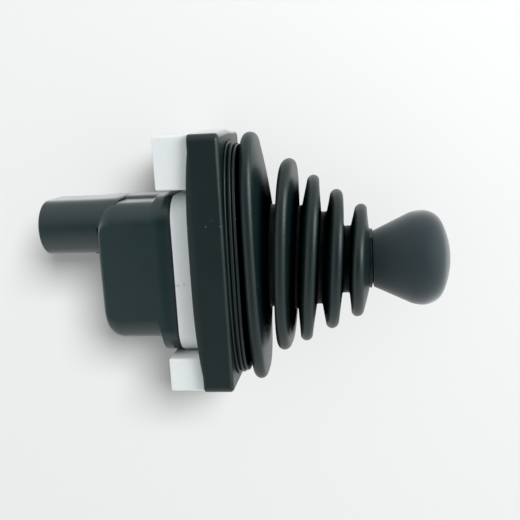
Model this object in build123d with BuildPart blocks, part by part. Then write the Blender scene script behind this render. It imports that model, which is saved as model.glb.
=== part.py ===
from build123d import *
import os
from math import atan2, copysign, cos, hypot, pi, radians, sin, tan

os.makedirs("parts", exist_ok=True)

# Single-axis hand lever that springs back to the middle, in millimetres.
# +Z runs along the lever, +X along the long side of the boot, and the lever swings about Y.
# The origin is midway between the two mounting screws, on the face that they pull down.

# Fits
fixed_fit = 0.01        # gap between pieces that are pressed or moulded together
running_fit = 0.05      # radial gap of the pin in its bushes
face_gap = 0.05         # end play at each face of the pivot washers
grip_gap = 0.05         # rubber stretched over the plate
loose_gap = 0.3         # moving and soft pieces beside their neighbours
screw_gap = 0.2         # clearance holes around screws

# Swing
swing = radians(20)     # lever travel to each side
pivot_rise = 3.0        # pivot above the rear face of the plate

# Mounting body: plate, housing block, spigot and two pillars
pillar_height = 11.7
pillar_long = 17.2      # pillar at the -X end
pillar_gap = 0.5        # between the +X pillar and the rear cover
pillar_wall = 2.4
pillar_rib = 1.6
pillar_floor = 3.0
pillar_corner = 0.8
pillar_edge = 0.35
plate_thickness = 8.0
plate_bead = 0.8        # bead around the plate that locks the skirt
bead_height = 2.0
housing_length = 53.5
housing_depth = 31.5
housing_shift = 1.55
housing_height = 8.2
housing_corner = 8.75
spigot_inset = 2.4
spigot_length = 6.8

# Mounting screws
screw_spacing = 70.0
insert_radius = 2.8
insert_bore = 1.65
insert_length = 8.0
insert_spare = 1.0      # free depth past the end of the insert
insert_boss = 5.0

# Rubber skirt around the plate
skirt_length = 84.9
skirt_depth = 41.0
skirt_shift = -2.25
skirt_wall = 2.5
skirt_front_wall = 2.0
skirt_corner = 2.5
skirt_edge = 1.5
skirt_rear_edge = 0.4
skirt_draft = 1.0       # how far the ends stand out at the mould's parting line

# Bellows
boot_wall = 1.3
foot_inset = 2.5
foot_height = 3.6
foot_groove = 0.7
waist_inset = 4.0       # groove between the foot and the first ring
waist_edge = 0.4        # height over which the foot falls to that groove
oval_squareness = 0.8   # how soon a long oval turns from an ellipse to a slot
first_ring_height = 7.3
first_ring_length = 42.5
first_ring_inset = 0.3  # rim inside the long sides of the skirt
first_ring_shift = -1.9
first_ring_root = 4.9
second_ring_height = 17.6
second_ring_length = 32.8
second_ring_depth = 20.0
second_ring_shift = -2.0
ring_pitch = 8.3
upper_rings = 4
last_ring_radius = 19.1
last_ring_shift = 0.3
ring_tip = 2.2          # half thickness of a ring near its rim
ring_root = 3.5         # half thickness of a ring at its root
ring_rim = 1.0          # how far the rim stands past the flanks
first_valley_length = 19.2
first_valley_depth = 13.2
last_valley_radius = 11.4
neck_radius = 9.7

# Knob, its hub and the lever
knob_base = 47.0        # knob above the front of the skirt
knob_base_radius = 9.7
knob_shoulder_radius = 15.25
knob_shoulder = 12.3
knob_radius = 15.95
knob_widest = 16.2
knob_height = 25.3
knob_crown = 28.0
hub_radius = 6.0
hub_shank = 8.0         # hub below the knob, inside the neck of the boot
hub_grip = 18.0         # hub inside the knob
rod_radius = 4.0
rod_grip = 16.0         # lever inside the hub
nut_width = 13.0
nut_height = 4.5

# Rocker and pivot
bush_cover = 2.5        # plate past the outer end of a bush
washer_thickness = 0.45
washer_radius = 5.5
pin_radius = 2.5
pin_end_gap = 0.3
bush_radius = 4.0
bush_length = 5.2
rocker_radius = 6.5
rocker_gap = 0.8        # room under the rocker barrel
well_gap = 2.0          # room beside the rocker barrel for the socket to tilt
socket_radius = 6.2     # rocker socket around the lever
socket_height = 14.0    # socket above the pivot
socket_floor = 3.5      # end of the lever above the pivot
cross_pin_radius = 1.25
cross_pin_height = 10.5
wing_reach = 19.0
wing_width = 8.0
wing_thickness = 3.0
wing_drop = 1.0         # top of the wings below the pivot
leg_width = 6.8
leg_length = 22.0       # leg below the pivot
leg_corner = 0.8
magnet_radius = 2.4
magnet_height = 3.0

# Centring springs
spring_offset = 15.0
spring_radius = 3.0
wire_radius = 0.45
spring_turns = 6
spring_floor = 1.5
spring_nub = 2.1        # radius of the nub that keeps a spring in place
nub_height = 1.0
stop_gap = 0.5          # room under a wing at full swing

# Rear cover and its fastening
gasket_thickness = 0.8
gasket_inset = 0.4
rim_height = 7.1
rim_wall = 2.2
rim_edge = 0.6
box_length = 47.0
box_shift = -0.1
box_height = 17.4
box_corner = 7.6
box_edge = 3.0
cover_wall = 2.0
case_screw_x = 36.0
case_screw_y = 21.0
case_screw_radius = 1.5
case_head_radius = 2.75
case_head_height = 2.5
case_head_recess = 3.2
case_hex_radius = 1.3
case_boss_radius = 3.0
case_screw_grip = 8.0
pilot_spare = 1.0

# Connector
shroud_height = 18.6
shroud_depth = 30.0
shroud_shift = -15.5
shroud_length = 20.3
shroud_wall = 2.0
shroud_floor = 2.0
shroud_edge = 0.6
latch_width = 6.0
latch_length = 3.6
latch_height = 1.0
latch_place = 2.0       # latch nub past the root of the shroud
carrier_shift = -14.5
carrier_height = 9.6
carrier_depth = 12.0
carrier_lip = 0.3
carrier_stand = 2.0     # carrier in front of the shroud floor
contact_radius = 0.75
contact_pitch_x = 3.2
contact_pitch_y = 5.0
contact_stand = 9.0     # contacts in front of the carrier
contact_tail = 0.9

# Sensor board
sensor_gap = 1.5
sensor_height = 1.2
sensor_width = 2.9
sensor_length = 4.0
sensor_pitch = 4.6
board_thickness = 1.6
board_depth = 14.0
board_gap = 0.8
post_radius = 2.2
post_span = 22.0
post_centre = 5.2
post_pitch = 9.4
board_screw_radius = 1.0
board_head_radius = 1.7
board_head_height = 1.3
board_screw_grip = 5.0
chip_length = 6.0
chip_width = 4.4
chip_height = 1.5
chip_place = 8.5
capacitor_length = 2.0
capacitor_width = 1.25
capacitor_height = 1.0
capacitor_pitch = 4.2

# Heights that the sizes above give
plate_front = pillar_height + plate_thickness
skirt_front = plate_front + skirt_front_wall
pivot_z = pillar_height + pivot_rise
housing_rear = pillar_height - housing_height
spigot_rear = housing_rear - spigot_length
cover_front = housing_rear - gasket_thickness
rim_rear = cover_front - rim_height
cover_rear = rim_rear - box_height
box_floor = cover_rear + cover_wall
shroud_mouth = cover_rear - shroud_length
shroud_bottom = cover_rear - shroud_floor
knob_z = skirt_front + knob_base
neck_start = skirt_front + second_ring_height + (upper_rings - 1) * ring_pitch + ring_root
hub_rear = knob_z - hub_shank
rod_rear = pivot_z + socket_floor
wing_top = pivot_z - wing_drop
wing_bottom = wing_top - wing_thickness
leg_end = pivot_z - leg_length
shelf_top = pivot_z - wing_reach * sin(swing) - (wing_drop + wing_thickness) * cos(swing) - stop_gap
spring_seat = spigot_rear + spring_floor
board_front = leg_end - sensor_gap - sensor_height
board_rear = board_front - board_thickness

# Widths that the sizes above give
skirt_start = skirt_shift - skirt_length / 2
skirt_end = skirt_shift + skirt_length / 2
pillar_short = skirt_end - housing_shift - housing_length / 2 - pillar_gap
plate_length = skirt_length - 2 * skirt_wall
plate_depth = skirt_depth - 2 * skirt_wall
cheek_spacing = plate_depth - 2 * bush_length - 2 * bush_cover
first_ring_depth = skirt_depth / 2 - first_ring_inset
plate_corner = max(skirt_corner - skirt_wall, 0) + plate_bead
bead_z = pillar_height + (plate_thickness - bead_height) / 2
spigot_size = (housing_length - 2 * spigot_inset, housing_depth - 2 * spigot_inset)
spigot_corner = housing_corner - spigot_inset
barrel_width = cheek_spacing - 2 * washer_thickness - 4 * face_gap
wing_corner = hypot(wing_reach, wing_drop + wing_thickness)
slot_half = wing_corner + loose_gap
leg_sweep = (pivot_z - spigot_rear) * tan(swing) + leg_width / 2 / cos(swing)
pocket_radius = spring_radius + wire_radius + loose_gap
box_inside = (box_length - 2 * cover_wall, housing_depth - 2 * cover_wall)
board_length = box_inside[0] - 2 * board_gap
pin_length = cheek_spacing + 2 * bush_length - 2 * pin_end_gap
contact_spots = [
    (carrier_shift + column * contact_pitch_x, row * contact_pitch_y / 2)
    for column in (-1, 0, 1)
    for row in (-1, 1)
]


def oval_points(shift, half_length, half_depth):
    squareness = 2 + oval_squareness * max(half_length / half_depth - 1, 0)
    power = 2 / squareness
    point_count = 24
    points = []
    for step in range(point_count):
        turn = 2 * pi * step / point_count
        along = copysign(abs(cos(turn)) ** power, cos(turn))
        across = copysign(abs(sin(turn)) ** power, sin(turn))
        points.append((shift + half_length * along, half_depth * across))
    return points


def between(first, last, step, steps):
    return first + (last - first) * step / steps


# Mounting body: one white moulding that carries everything else
with BuildPart() as mounting_body:
    with BuildSketch(Plane.XY.offset(pillar_height)):
        with Locations((skirt_shift, 0)):
            RectangleRounded(plate_length, plate_depth, plate_corner)
    extrude(amount=plate_thickness)
    with BuildSketch(Plane.XY.offset(bead_z)):
        with Locations((skirt_shift, 0)):
            RectangleRounded(plate_length + 2 * plate_bead, plate_depth + 2 * plate_bead, plate_corner)
    extrude(amount=bead_height)
    with BuildSketch(Plane.XY.offset(housing_rear)):
        with Locations((housing_shift, 0)):
            RectangleRounded(housing_length, housing_depth, housing_corner)
    extrude(amount=housing_height)
    with BuildSketch(Plane.XY.offset(spigot_rear)):
        with Locations((housing_shift, 0)):
            RectangleRounded(*spigot_size, spigot_corner)
    extrude(amount=spigot_length)
    with BuildSketch():
        with Locations((skirt_start + pillar_long / 2, 0)):
            RectangleRounded(pillar_long, plate_depth, pillar_corner)
        with Locations((skirt_end - pillar_short / 2, 0)):
            RectangleRounded(pillar_short, plate_depth, pillar_corner)
    extrude(amount=pillar_height)
    fillet(mounting_body.faces().filter_by_position(Axis.Z, 0, 0).edges(), pillar_edge)
    # the pillars are cored out around their screw bosses and ribs
    with BuildSketch():
        with Locations((skirt_start + pillar_long / 2, 0)):
            Rectangle(pillar_long - 2 * pillar_wall, plate_depth - 2 * pillar_wall)
        with Locations((skirt_end - pillar_short / 2, 0)):
            Rectangle(pillar_short - 2 * pillar_wall, plate_depth - 2 * pillar_wall)
        with GridLocations(screw_spacing, 1, 2, 1):
            Circle(insert_boss, mode=Mode.SUBTRACT)
        with Locations((skirt_start + pillar_long / 2, 0), (skirt_end - pillar_short / 2, 0)):
            with GridLocations(1, plate_depth / 4, 1, 3):
                Rectangle(max(pillar_long, pillar_short), pillar_rib, mode=Mode.SUBTRACT)
    extrude(amount=pillar_height - pillar_floor, mode=Mode.SUBTRACT)
    with BuildSketch():
        with GridLocations(screw_spacing, 1, 2, 1):
            Circle(insert_radius + fixed_fit)
    extrude(amount=insert_length + insert_spare, mode=Mode.SUBTRACT)
    # well for the rocker barrel, slot for its wings and slot for its leg
    with BuildSketch(Plane.XY.offset(plate_front)):
        Rectangle(2 * (rocker_radius + well_gap), cheek_spacing)
    extrude(amount=pivot_z - rocker_radius - rocker_gap - plate_front, mode=Mode.SUBTRACT)
    with BuildSketch(Plane.XY.offset(plate_front)):
        Rectangle(2 * slot_half, wing_width + 2 * loose_gap)
    extrude(amount=shelf_top - plate_front, mode=Mode.SUBTRACT)
    with BuildSketch(Plane.XY.offset(plate_front)):
        Rectangle(2 * (leg_sweep + loose_gap), leg_width + 2 * loose_gap)
    extrude(amount=spigot_rear - plate_front, mode=Mode.SUBTRACT)
    with BuildSketch(Plane.XY.offset(spring_seat)):
        with GridLocations(2 * spring_offset, 1, 2, 1):
            Circle(pocket_radius)
    extrude(amount=shelf_top - spring_seat, mode=Mode.SUBTRACT)
    # bush seats, and the hole at the far side through which the pin goes in
    with BuildSketch(Plane.XZ.offset(-cheek_spacing / 2 - bush_length)):
        with Locations((0, pivot_z)):
            Circle(bush_radius + fixed_fit)
    extrude(amount=cheek_spacing + 2 * bush_length, mode=Mode.SUBTRACT)
    with BuildSketch(Plane.XZ.offset(-skirt_depth / 2)):
        with Locations((0, pivot_z)):
            Circle(pin_radius + screw_gap)
    extrude(amount=skirt_depth / 2 - cheek_spacing / 2, mode=Mode.SUBTRACT)
    with Locations((housing_shift, 0, plate_front)):
        with GridLocations(case_screw_x, case_screw_y, 2, 2):
            CounterBoreHole(case_screw_radius + screw_gap, case_head_radius + screw_gap, case_head_recess)
mounting_body.part.label = "mounting_body"
export_step(mounting_body.part, "parts/mounting_body.step")

# Brass inserts in the pillars
with BuildPart() as screw_inserts:
    with BuildSketch():
        with GridLocations(screw_spacing, 1, 2, 1):
            Circle(insert_radius)
            Circle(insert_bore, mode=Mode.SUBTRACT)
    extrude(amount=insert_length)
screw_inserts.part.label = "screw_inserts"
export_step(screw_inserts.part, "parts/screw_inserts.step")

# Rubber skirt: the thick lower end of the boot, stretched over the plate
with BuildPart() as boot_skirt:
    with BuildSketch(Plane.XY.offset(pillar_height)) as skirt_outline:
        with BuildLine():
            Polyline(
                (skirt_start, -skirt_depth / 2),
                (skirt_end, -skirt_depth / 2),
                (skirt_end + skirt_draft, 0),
                (skirt_end, skirt_depth / 2),
                (skirt_start, skirt_depth / 2),
                (skirt_start - skirt_draft, 0),
                close=True,
            )
        make_face()
        skirt_corners = skirt_outline.vertices().group_by(Axis.Y)
        fillet(skirt_corners[0] + skirt_corners[-1], skirt_corner)
    extrude(amount=skirt_front - pillar_height)
    fillet(boot_skirt.faces().sort_by(Axis.Z)[-1].edges(), skirt_edge)
    fillet(boot_skirt.faces().sort_by(Axis.Z)[0].edges(), skirt_rear_edge)
    with BuildSketch(Plane.XY.offset(pillar_height)):
        with Locations((skirt_shift, 0)):
            RectangleRounded(plate_length + 2 * grip_gap, plate_depth + 2 * grip_gap, plate_corner)
    extrude(amount=plate_thickness, mode=Mode.SUBTRACT)
    with BuildSketch(Plane.XY.offset(bead_z - grip_gap)):
        with Locations((skirt_shift, 0)):
            RectangleRounded(
                plate_length + 2 * plate_bead + 2 * grip_gap,
                plate_depth + 2 * plate_bead + 2 * grip_gap,
                plate_corner,
            )
    extrude(amount=bead_height + 2 * grip_gap, mode=Mode.SUBTRACT)
    with BuildSketch(Plane.XY.offset(plate_front)):
        with BuildLine():
            Spline(
                *oval_points(
                    skirt_shift,
                    skirt_length / 2 - foot_inset - boot_wall,
                    skirt_depth / 2 - foot_inset - boot_wall,
                ),
                periodic=True,
            )
        make_face()
    extrude(amount=skirt_front_wall, mode=Mode.SUBTRACT)
boot_skirt.part.label = "boot_skirt"
export_step(boot_skirt.part, "parts/boot_skirt.step")


def boot_levels(inset, overrun):
    # heights and ovals of the boot from foot to neck, drawn in by the wall for its inside
    levels = []
    foot = (skirt_shift, skirt_length / 2 - foot_inset, skirt_depth / 2 - foot_inset)
    groove_z = skirt_front + foot_height / 2
    foot_top = skirt_front + foot_height
    steps = [(skirt_front - overrun, 0), (groove_z - foot_groove, 0), (groove_z, foot_groove)]
    steps += [(groove_z + foot_groove, 0), (foot_top - inset, 0)]
    steps += [(foot_top + waist_edge - inset, waist_inset)]
    for height, drawn in steps:
        levels.append((height, foot[0], foot[1] - drawn - inset, foot[2] - drawn - inset))
    rings = [(first_ring_height, first_ring_shift, first_ring_length, first_ring_depth, first_ring_root)]
    for step in range(upper_rings):
        rings.append((
            second_ring_height + step * ring_pitch,
            between(second_ring_shift, last_ring_shift, step, upper_rings - 1),
            between(second_ring_length, last_ring_radius, step, upper_rings - 1),
            between(second_ring_depth, last_ring_radius, step, upper_rings - 1),
            ring_root,
        ))
    valleys = [(foot[0], foot[1] - waist_inset, foot[2] - waist_inset)]
    for step in range(upper_rings):
        valleys.append((
            between(second_ring_shift, last_ring_shift, step, upper_rings - 1),
            between(first_valley_length, last_valley_radius, step, upper_rings - 1),
            between(first_valley_depth, last_valley_radius, step, upper_rings - 1),
        ))
    valleys.append((0, neck_radius, neck_radius))
    for number, (height, shift, length, depth, root) in enumerate(rings):
        below = valleys[number]
        above = valleys[number + 1]
        lower_root = ring_root if number else ring_tip + ring_rim / 2
        middle = skirt_front + height
        levels.append((middle - lower_root + inset, below[0], below[1] - inset, below[2] - inset))
        levels.append((middle - ring_tip + inset, shift, length - ring_rim - inset, depth - ring_rim - inset))
        levels.append((middle, shift, length - inset, depth - inset))
        levels.append((middle + ring_tip - inset, shift, length - ring_rim - inset, depth - ring_rim - inset))
        levels.append((middle + root - inset, above[0], above[1] - inset, above[2] - inset))
    return levels


# Bellows: an oval rubber boot that turns round towards the knob
with BuildPart() as bellows_boot:
    for height, shift, length, depth in boot_levels(0, 0):
        with BuildSketch(Plane.XY.offset(height)):
            with BuildLine():
                Spline(*oval_points(shift, length, depth), periodic=True)
            make_face()
    with BuildSketch(Plane.XY.offset(knob_z - loose_gap)):
        with BuildLine():
            Spline(*oval_points(0, neck_radius, neck_radius), periodic=True)
        make_face()
    loft(ruled=True)
    for height, shift, length, depth in boot_levels(boot_wall, boot_wall)[:-1]:
        with BuildSketch(Plane.XY.offset(height)):
            with BuildLine():
                Spline(*oval_points(shift, length, depth), periodic=True)
            make_face()
    for height in (neck_start - boot_wall, knob_z):
        with BuildSketch(Plane.XY.offset(height)):
            with BuildLine():
                Spline(*oval_points(0, hub_radius + loose_gap, hub_radius + loose_gap), periodic=True)
            make_face()
    loft(ruled=True, mode=Mode.SUBTRACT)
bellows_boot.part.label = "bellows_boot"
export_step(bellows_boot.part, "parts/bellows_boot.step")

# Knob: a flared grip with a crowned end, turned about the lever
crown_drop = knob_height - knob_widest
corner_radius = 2 * knob_crown * crown_drop - crown_drop ** 2 - knob_radius ** 2
corner_radius = corner_radius / (2 * (knob_crown - knob_radius))
corner_centre = (knob_radius - corner_radius, knob_z + knob_widest)
crown_centre = knob_z + knob_height - knob_crown
crown_turn = atan2(corner_centre[1] - crown_centre, corner_centre[0])
crown_edge = (knob_crown * cos(crown_turn), crown_centre + knob_crown * sin(crown_turn))
with BuildPart() as knob:
    with BuildSketch(Plane.XZ):
        with BuildLine():
            base = Line((hub_radius + fixed_fit, knob_z), (knob_base_radius, knob_z))
            flank = Line(base @ 1, (knob_shoulder_radius, knob_z + knob_shoulder))
            shoulder = TangentArc(flank @ 1, (knob_radius, knob_z + knob_widest), tangent=flank % 1)
            corner = RadiusArc(shoulder @ 1, crown_edge, -corner_radius)
            crown = RadiusArc(corner @ 1, (0, knob_z + knob_height), -knob_crown)
            Polyline(
                crown @ 1,
                (0, knob_z + hub_grip),
                (hub_radius + fixed_fit, knob_z + hub_grip),
                base @ 0,
            )
        make_face()
    revolve(axis=Axis.Z)
knob.part.label = "knob"
export_step(knob.part, "parts/knob.step")

# Hub: the metal core of the knob, with a shank that the boot's neck closes on
with BuildPart() as knob_hub:
    with BuildSketch(Plane.XY.offset(hub_rear)):
        Circle(hub_radius)
    extrude(amount=hub_shank + hub_grip)
    with BuildSketch(Plane.XY.offset(hub_rear)):
        Circle(rod_radius + fixed_fit)
    extrude(amount=hub_shank + rod_grip, mode=Mode.SUBTRACT)
knob_hub.part.label = "knob_hub"
export_step(knob_hub.part, "parts/knob_hub.step")

# Lock nut under the hub
with BuildPart() as lock_nut:
    with BuildSketch(Plane.XY.offset(hub_rear - nut_height)):
        RegularPolygon(nut_width / 2, 6, major_radius=False)
        Circle(rod_radius + fixed_fit, mode=Mode.SUBTRACT)
    extrude(amount=nut_height)
lock_nut.part.label = "lock_nut"
export_step(lock_nut.part, "parts/lock_nut.step")

# Steel lever
with BuildPart() as lever_rod:
    with BuildSketch(Plane.XY.offset(rod_rear)):
        Circle(rod_radius)
    extrude(amount=knob_z + rod_grip - rod_rear)
    with BuildSketch(Plane.YZ.offset(-rod_radius)):
        with Locations((0, pivot_z + cross_pin_height)):
            Circle(cross_pin_radius + fixed_fit)
    extrude(amount=2 * rod_radius, mode=Mode.SUBTRACT)
lever_rod.part.label = "lever_rod"
export_step(lever_rod.part, "parts/lever_rod.step")

# Rocker: barrel on the pivot pin, socket for the lever, wings on the springs, leg with the magnet
with BuildPart() as rocker:
    with BuildSketch(Plane.XZ.offset(-barrel_width / 2)):
        with Locations((0, pivot_z)):
            Circle(rocker_radius)
    extrude(amount=barrel_width)
    with BuildSketch(Plane.XY.offset(pivot_z)):
        Circle(socket_radius)
    extrude(amount=socket_height)
    with BuildSketch(Plane.XY.offset(wing_bottom)):
        Rectangle(2 * wing_reach, wing_width)
    extrude(amount=wing_thickness)
    with BuildSketch(Plane.XY.offset(wing_bottom)):
        with GridLocations(2 * spring_offset, 1, 2, 1):
            Circle(spring_nub)
    extrude(amount=-nub_height)
    with BuildSketch(Plane.XY.offset(leg_end)):
        RectangleRounded(leg_width, leg_width, leg_corner)
    extrude(amount=leg_length)
    with BuildSketch(Plane.XZ.offset(-barrel_width / 2)):
        with Locations((0, pivot_z)):
            Circle(pin_radius + fixed_fit)
    extrude(amount=barrel_width, mode=Mode.SUBTRACT)
    with BuildSketch(Plane.XY.offset(rod_rear)):
        Circle(rod_radius + fixed_fit)
    extrude(amount=socket_height, mode=Mode.SUBTRACT)
    with BuildSketch(Plane.YZ.offset(-socket_radius)):
        with Locations((0, pivot_z + cross_pin_height)):
            Circle(cross_pin_radius + fixed_fit)
    extrude(amount=2 * socket_radius, mode=Mode.SUBTRACT)
    with BuildSketch(Plane.XY.offset(leg_end)):
        Circle(magnet_radius + fixed_fit)
    extrude(amount=magnet_height, mode=Mode.SUBTRACT)
rocker.part.label = "rocker"
export_step(rocker.part, "parts/rocker.step")

# Cross pin that locks the lever in the rocker
with BuildPart() as cross_pin:
    with BuildSketch(Plane.YZ.offset(-socket_radius)):
        with Locations((0, pivot_z + cross_pin_height)):
            Circle(cross_pin_radius)
    extrude(amount=2 * socket_radius)
cross_pin.part.label = "cross_pin"
export_step(cross_pin.part, "parts/cross_pin.step")

# Pivot pin, pressed into the rocker
with BuildPart() as pivot_pin:
    with BuildSketch(Plane.XZ.offset(-pin_length / 2)):
        with Locations((0, pivot_z)):
            Circle(pin_radius)
    extrude(amount=pin_length)
pivot_pin.part.label = "pivot_pin"
export_step(pivot_pin.part, "parts/pivot_pin.step")

# Plain bushes in the two cheeks of the housing
with BuildPart() as pivot_bushes:
    for inner_face in (-cheek_spacing / 2 - bush_length, cheek_spacing / 2):
        with BuildSketch(Plane.XZ.offset(inner_face)):
            with Locations((0, pivot_z)):
                Circle(bush_radius)
                Circle(pin_radius + running_fit, mode=Mode.SUBTRACT)
        extrude(amount=bush_length)
pivot_bushes.part.label = "pivot_bushes"
export_step(pivot_bushes.part, "parts/pivot_bushes.step")

# Thrust washers between the rocker and the cheeks
washer_place = barrel_width / 2 + face_gap
with BuildPart() as pivot_washers:
    for inner_face in (-washer_place - washer_thickness, washer_place):
        with BuildSketch(Plane.XZ.offset(inner_face)):
            with Locations((0, pivot_z)):
                Circle(washer_radius)
                Circle(pin_radius + running_fit, mode=Mode.SUBTRACT)
        extrude(amount=washer_thickness)
pivot_washers.part.label = "pivot_washers"
export_step(pivot_washers.part, "parts/pivot_washers.step")

# Magnet at the end of the rocker's leg
with BuildPart() as sensor_magnet:
    with BuildSketch(Plane.XY.offset(leg_end)):
        Circle(magnet_radius)
    extrude(amount=magnet_height)
sensor_magnet.part.label = "sensor_magnet"
export_step(sensor_magnet.part, "parts/sensor_magnet.step")

# Centring springs, one under each wing
coil_height = wing_bottom - spring_seat - 2 * wire_radius - 2 * face_gap
coil_start = spring_seat + face_gap + wire_radius
with BuildPart() as left_spring:
    with BuildLine() as left_coil:
        Helix(coil_height / spring_turns, coil_height, spring_radius, center=(-spring_offset, 0, coil_start))
    with BuildSketch(Plane(left_coil.line @ 0, z_dir=left_coil.line % 0)):
        Circle(wire_radius)
    sweep(is_frenet=True)
    split(bisect_by=Plane.XY.offset(spring_seat + face_gap), keep=Keep.TOP)
    split(bisect_by=Plane.XY.offset(wing_bottom - face_gap), keep=Keep.BOTTOM)
left_spring.part.label = "left_spring"
export_step(left_spring.part, "parts/left_spring.step")

with BuildPart() as right_spring:
    add(left_spring.part)
    mirror(about=Plane.YZ, mode=Mode.REPLACE)
right_spring.part.label = "right_spring"
export_step(right_spring.part, "parts/right_spring.step")

# Rear cover: rim, box and the boss behind the connector
with BuildPart() as rear_cover:
    with BuildSketch(Plane.XY.offset(rim_rear)):
        with Locations((housing_shift, 0)):
            RectangleRounded(housing_length, housing_depth, housing_corner)
    extrude(amount=rim_height)
    chamfer(rear_cover.faces().sort_by(Axis.Z)[0].edges(), rim_edge)
    with BuildSketch(Plane.XY.offset(cover_rear)):
        with Locations((box_shift, 0)):
            RectangleRounded(box_length, housing_depth, box_corner)
    extrude(amount=cover_front - cover_rear)
    fillet(rear_cover.faces().sort_by(Axis.Z)[0].edges(), box_edge)
    with BuildSketch(Plane.XY.offset(cover_rear)):
        with Locations((shroud_shift, 0)):
            SlotOverall(shroud_depth, shroud_height, rotation=90)
    extrude(amount=rim_rear - cover_rear)
    with BuildSketch(Plane.XY.offset(spigot_rear - screw_gap)):
        with Locations((housing_shift, 0)):
            RectangleRounded(
                housing_length - 2 * rim_wall,
                housing_depth - 2 * rim_wall,
                housing_corner - rim_wall,
            )
    extrude(amount=cover_front - spigot_rear + screw_gap, mode=Mode.SUBTRACT)
    with BuildSketch(Plane.XY.offset(box_floor)):
        with Locations((box_shift, 0)):
            RectangleRounded(*box_inside, box_corner - cover_wall)
    extrude(amount=cover_front - box_floor, mode=Mode.SUBTRACT)
    # bosses for the case screws and posts for the board
    with BuildSketch(Plane.XY.offset(box_floor)):
        with Locations((housing_shift, 0)):
            with GridLocations(case_screw_x, case_screw_y, 2, 2):
                Circle(case_boss_radius)
    extrude(amount=spigot_rear - box_floor)
    with BuildSketch(Plane.XY.offset(box_floor)):
        with Locations((post_centre, 0)):
            with GridLocations(post_span, post_pitch, 2, 2):
                Circle(post_radius)
    extrude(amount=board_rear - box_floor)
    with BuildSketch(Plane.XY.offset(spigot_rear)):
        with Locations((housing_shift, 0)):
            with GridLocations(case_screw_x, case_screw_y, 2, 2):
                Circle(case_screw_radius + fixed_fit)
    extrude(amount=-case_screw_grip - pilot_spare, mode=Mode.SUBTRACT)
    with BuildSketch(Plane.XY.offset(board_rear)):
        with Locations((post_centre, 0)):
            with GridLocations(post_span, post_pitch, 2, 2):
                Circle(board_screw_radius + fixed_fit)
    extrude(amount=-board_screw_grip - pilot_spare, mode=Mode.SUBTRACT)
    with BuildSketch(Plane.XY.offset(cover_rear)):
        with Locations((carrier_shift, 0)):
            Rectangle(carrier_height + 2 * fixed_fit, carrier_depth + 2 * fixed_fit)
    extrude(amount=cover_wall, mode=Mode.SUBTRACT)
rear_cover.part.label = "rear_cover"
export_step(rear_cover.part, "parts/rear_cover.step")

# Gasket between the housing and the cover
with BuildPart() as cover_gasket:
    with BuildSketch(Plane.XY.offset(cover_front)):
        with Locations((housing_shift, 0)):
            RectangleRounded(
                housing_length - 2 * gasket_inset,
                housing_depth - 2 * gasket_inset,
                housing_corner - gasket_inset,
            )
            RectangleRounded(
                spigot_size[0] + 2 * grip_gap,
                spigot_size[1] + 2 * grip_gap,
                spigot_corner + grip_gap,
                mode=Mode.SUBTRACT,
            )
    extrude(amount=gasket_thickness)
cover_gasket.part.label = "cover_gasket"
export_step(cover_gasket.part, "parts/cover_gasket.step")

# Screws that pull the cover up to the mounting body, put in from under the boot
case_head_seat = plate_front - case_head_recess
with BuildPart() as case_screws:
    with BuildSketch(Plane.XY.offset(case_head_seat)):
        with Locations((housing_shift, 0)):
            with GridLocations(case_screw_x, case_screw_y, 2, 2):
                Circle(case_head_radius)
    extrude(amount=case_head_height)
    with BuildSketch(Plane.XY.offset(case_head_seat + case_head_height)):
        with Locations((housing_shift, 0)):
            with GridLocations(case_screw_x, case_screw_y, 2, 2):
                RegularPolygon(case_hex_radius, 6)
    extrude(amount=-case_head_height / 2, mode=Mode.SUBTRACT)
    with BuildSketch(Plane.XY.offset(case_head_seat)):
        with Locations((housing_shift, 0)):
            with GridLocations(case_screw_x, case_screw_y, 2, 2):
                Circle(case_screw_radius)
    extrude(amount=spigot_rear - case_screw_grip - case_head_seat)
case_screws.part.label = "case_screws"
export_step(case_screws.part, "parts/case_screws.step")

# Connector shroud: a slot-shaped socket for the cable plug
with BuildPart() as connector_shroud:
    with BuildSketch(Plane.XY.offset(shroud_mouth)):
        with Locations((shroud_shift, 0)):
            SlotOverall(shroud_depth, shroud_height, rotation=90)
    extrude(amount=shroud_length)
    fillet(connector_shroud.faces().sort_by(Axis.Z)[0].edges(), shroud_edge)
    with BuildSketch(Plane.XY.offset(shroud_mouth)):
        with Locations((shroud_shift, 0)):
            SlotOverall(shroud_depth - 2 * shroud_wall, shroud_height - 2 * shroud_wall, rotation=90)
    extrude(amount=shroud_length - shroud_floor, mode=Mode.SUBTRACT)
    with BuildSketch(Plane.XY.offset(shroud_bottom)):
        with Locations((carrier_shift, 0)):
            Rectangle(carrier_height + 2 * fixed_fit, carrier_depth + 2 * fixed_fit)
    extrude(amount=shroud_floor, mode=Mode.SUBTRACT)
    with BuildSketch(Plane.XY.offset(cover_rear - latch_place - latch_length)):
        with Locations((shroud_shift + shroud_height / 2, 0)):
            Rectangle(2 * latch_height, latch_width)
    extrude(amount=latch_length)
connector_shroud.part.label = "connector_shroud"
export_step(connector_shroud.part, "parts/connector_shroud.step")

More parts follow.
